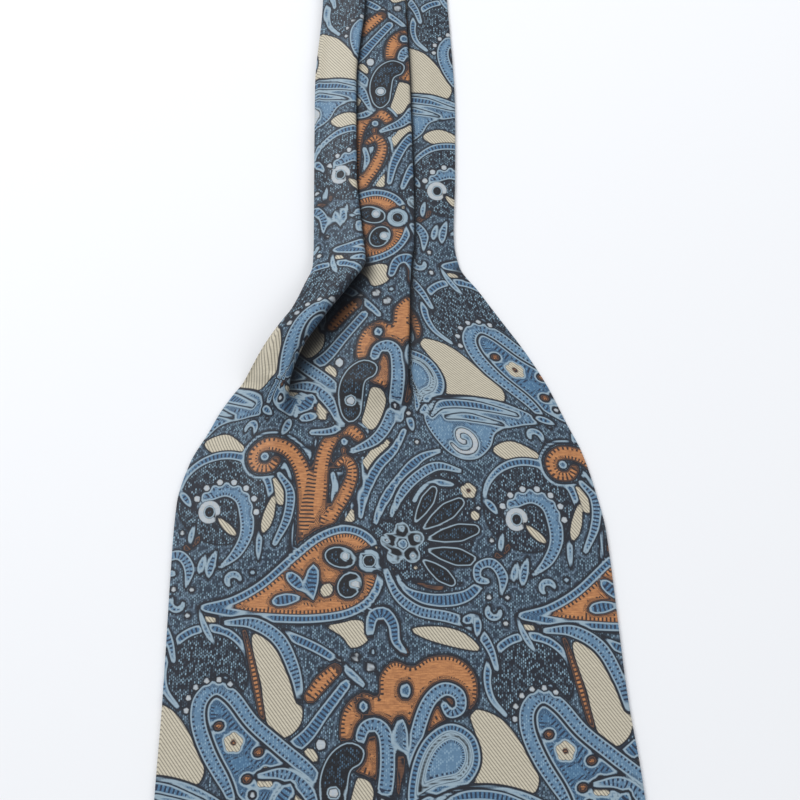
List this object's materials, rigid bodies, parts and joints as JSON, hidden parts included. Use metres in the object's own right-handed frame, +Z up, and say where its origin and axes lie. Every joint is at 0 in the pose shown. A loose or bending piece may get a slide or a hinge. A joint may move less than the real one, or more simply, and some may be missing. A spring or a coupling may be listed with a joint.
{
  "type": "silk cravat",
  "caption": "Silk cravat laid out flat, with wide pointed blades joined by a pleated neckband; worn round the neck.",
  "frame": {"origin": "centre of the bounding box, on the surface the cravat lies on", "axes": "+Y runs along the cravat from the front blade's point to the rear blade's point, +X across it to the right as seen from above with the front blade nearest, +Z up, away from the surface"},
  "size_m": [0.152, 1.18, 0.0099],
  "materials": {
    "figured_silk": "woven jacquard silk, satin sheen, paisley in navy, blue, copper and cream"
  },
  "bodies": {
    "root": {"front_blade": "figured_silk", "neck_piece": "figured_silk", "rear_blade": "figured_silk"}
  },
  "joints": []
}
